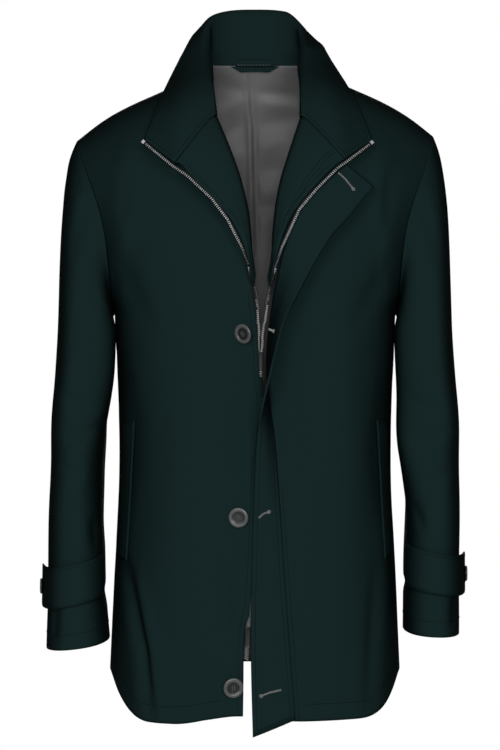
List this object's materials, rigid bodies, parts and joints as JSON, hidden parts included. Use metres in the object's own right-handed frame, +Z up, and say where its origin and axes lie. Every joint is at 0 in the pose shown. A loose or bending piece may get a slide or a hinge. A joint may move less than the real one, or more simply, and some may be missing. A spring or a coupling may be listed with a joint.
{
  "type": "car coat",
  "caption": "Hip-length car coat in dark petrol-green cloth, worn open at the neck, with a rolled stand collar, zip front under a buttoned flap, welt pockets and strapped cuffs.",
  "frame": {"origin": "between the neck points on the shoulder line, where the wearer's shoulders carry the coat", "axes": "+Z up, the front faces -Y, the wearer's left is +X"},
  "size_m": [0.5313, 0.293, 0.9036],
  "materials": {
    "shell_cloth": "fine matte woven cloth with a slight sheen",
    "lining_satin": "grey satin",
    "zip_tape": "dark woven tape",
    "zip_metal": "grey zip metal",
    "button_horn": "dark grey button with a satin rim"
  },
  "bodies": {
    "coat": {"front_right": "shell_cloth", "front_left": "shell_cloth", "back": "shell_cloth", "sleeve_right": "shell_cloth", "under_sleeve_right": "shell_cloth", "sleeve_left": "shell_cloth", "under_sleeve_left": "shell_cloth", "collar": "shell_cloth", "facing_right": "shell_cloth", "facing_left": "shell_cloth", "flap": "shell_cloth", "pocket_right": "shell_cloth", "pocket_left": "shell_cloth", "strap_right": "shell_cloth", "strap_left": "shell_cloth", "neck_patch": "shell_cloth", "lining_back": "lining_satin", "zip_right": "zip_tape", "zip_left": "zip_tape", "hanger_loop": "zip_tape", "slider_upper": "zip_metal", "slider_lower": "zip_metal", "button_upper": "button_horn", "button_middle": "button_horn", "button_lower": "button_horn", "cuff_button_right": "button_horn", "cuff_button_left": "button_horn"},
    "upper_tab": {"pull_upper": "zip_metal"},
    "lower_tab": {"pull_lower": "zip_metal"}
  },
  "joints": [
    {"name": "upper_tab_swing", "type": "hinge", "parent": "coat", "child": "upper_tab", "pos_m": [0.006, -0.12846, -0.3345], "axis": [-1, 0, 0], "range_deg": [0, 150]},
    {"name": "lower_tab_swing", "type": "hinge", "parent": "coat", "child": "lower_tab", "pos_m": [-0.0089, -0.13528, -0.6645], "axis": [-1, 0, 0], "range_deg": [0, 150]}
  ]
}
